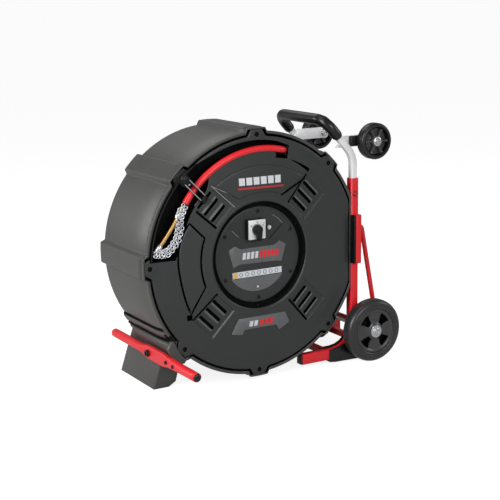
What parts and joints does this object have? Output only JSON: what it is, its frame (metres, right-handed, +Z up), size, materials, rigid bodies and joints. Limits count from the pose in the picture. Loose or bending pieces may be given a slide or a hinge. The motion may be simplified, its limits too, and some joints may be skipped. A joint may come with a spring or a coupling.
{
  "type": "drain cleaning drum machine",
  "caption": "Wheeled drum machine for clearing drains: closed ribbed drum, powered flexible shaft with its chain tip stowed in the front, red tube frame, telescoping handle.",
  "frame": {"origin": "floor level under the middle of the overall footprint", "axes": "+Z up, +Y from the switch side to the back wall along the drum axis, +X towards the wheels"},
  "size_m": [0.701, 0.445, 0.6275],
  "materials": {
    "shell_grey": "moulded, fine satin grain",
    "cover_black": "moulded, fine satin grain",
    "black_plastic": "satin",
    "black_rubber": "soft matte",
    "tyre_rubber": "matte",
    "red_paint": "powder coat, semi-gloss",
    "red_plastic": "gloss",
    "red_sheath": "extruded, gloss",
    "grey_paint": "printed plate, satin",
    "black_paint": "satin",
    "silver_aluminium": "satin anodised",
    "reel_aluminium": "as cast",
    "black_steel": "black oxide",
    "bright_steel": "machined",
    "chrome_plate": "bright plate",
    "gear_steel": "oiled",
    "brass_wire": "brushed",
    "white_lens": "clear gloss"
  },
  "bodies": {
    "housing": {"rear_shell": "shell_grey", "front_cover": "cover_black", "cover_gasket": "black_rubber", "cover_screws": "black_steel", "hub_cover": "cover_black", "hub_screws": "black_steel", "hub_carrier": "black_paint", "motor_body": "black_paint", "rear_spindle": "bright_steel", "spindle_bolts": "bright_steel", "outlet_guide": "black_plastic", "sheath_end": "red_sheath", "flex_shaft": "brass_wire", "knocker_collars": "chrome_plate", "knocker_chains": "chrome_plate", "latch_base": "black_plastic", "switch_bezel": "black_plastic", "switch_plate": "silver_aluminium", "switch_body": "black_plastic", "indicator_lens": "white_lens", "hub_badges": "grey_paint", "cover_badges": "grey_paint", "power_inlet": "black_plastic", "frame_posts": "red_paint", "cross_tubes": "red_paint", "base_tubes": "red_paint", "tube_plugs": "black_plastic", "base_boots": "black_rubber", "axle_brackets": "black_paint", "side_braces": "red_paint", "side_brackets": "red_paint", "bracket_pads": "black_rubber", "frame_bolts": "black_steel", "wheel_axle": "bright_steel", "axle_caps": "chrome_plate", "foot_block": "shell_grey", "foot_bar": "red_paint"},
    "front_wheel": {"front_wheel_rim": "black_plastic", "front_wheel_tyre": "tyre_rubber"},
    "rear_wheel": {"rear_wheel_rim": "black_plastic", "rear_wheel_tyre": "tyre_rubber"},
    "handle": {"handle_tube": "silver_aluminium", "handle_grip": "black_rubber", "handle_plates": "silver_aluminium", "wheel_blocks": "black_plastic", "small_wheel_bolts": "bright_steel"},
    "upper_wheel_front": {"small_wheel_front": "tyre_rubber"},
    "upper_wheel_rear": {"small_wheel_rear": "tyre_rubber"},
    "front_button": {"lock_button_front": "red_plastic"},
    "rear_button": {"lock_button_rear": "red_plastic"},
    "knob": {"switch_knob": "black_plastic"},
    "latch": {"latch_arm": "black_plastic"},
    "reel": {"reel_core": "reel_aluminium", "reel_flanges": "reel_aluminium", "reel_bearings": "bright_steel", "coiled_cable": "red_sheath"},
    "motor_gear": {"drive_gear": "gear_steel"},
    "take_off": {"reel_pinion": "gear_steel", "cable_coupling": "bright_steel"}
  },
  "joints": [
    {"name": "front_wheel_spin", "type": "hinge", "parent": "housing", "child": "front_wheel", "pos_m": [0.2705, -0.1135, 0.08], "axis": [0, 1, 0], "continuous": true},
    {"name": "rear_wheel_spin", "type": "hinge", "parent": "housing", "child": "rear_wheel", "pos_m": [0.2705, 0.1665, 0.08], "axis": [0, 1, 0], "continuous": true},
    {"name": "handle_slide", "type": "slide", "parent": "housing", "child": "handle", "axis": [0, 0, 1], "range_m": [0, 0.25]},
    {"name": "upper_wheel_front_spin", "type": "hinge", "parent": "handle", "child": "upper_wheel_front", "pos_m": [0.285, -0.0975, 0.556], "axis": [0, 1, 0], "continuous": true},
    {"name": "upper_wheel_rear_spin", "type": "hinge", "parent": "handle", "child": "upper_wheel_rear", "pos_m": [0.285, 0.1505, 0.556], "axis": [0, 1, 0], "continuous": true},
    {"name": "front_button_press", "type": "slide", "parent": "housing", "child": "front_button", "axis": [0, 1, 0], "range_m": [0, 0.003], "stiffness_N_per_m": 400},
    {"name": "rear_button_press", "type": "slide", "parent": "housing", "child": "rear_button", "axis": [0, -1, 0], "range_m": [0, 0.003], "stiffness_N_per_m": 400},
    {"name": "switch_turn", "type": "hinge", "parent": "housing", "child": "knob", "pos_m": [-0.057, -0.1035, 0.3725], "axis": [0, 1, 0], "range_deg": [-60, 60]},
    {"name": "latch_swing", "type": "hinge", "parent": "housing", "child": "latch", "pos_m": [-0.2472, -0.1015, 0.5087], "axis": [0, 1, 0], "range_deg": [0, 95]},
    {"name": "reel_spin", "type": "hinge", "parent": "housing", "child": "reel", "pos_m": [-0.0485, 0.1085, 0.31], "axis": [0, 1, 0], "continuous": true},
    {"name": "motor_spin", "type": "hinge", "parent": "housing", "child": "motor_gear", "pos_m": [-0.0485, 0.0785, 0.31], "axis": [0, 1, 0], "continuous": true},
    {"name": "take_off_spin", "type": "hinge", "parent": "reel", "child": "take_off", "pos_m": [-0.09085, 0.0985, 0.31], "axis": [0, 1, 0], "continuous": true}
  ],
  "couplings": [
    {"joint": "take_off_spin", "follows": "motor_spin", "ratio": -1.3333}
  ]
}
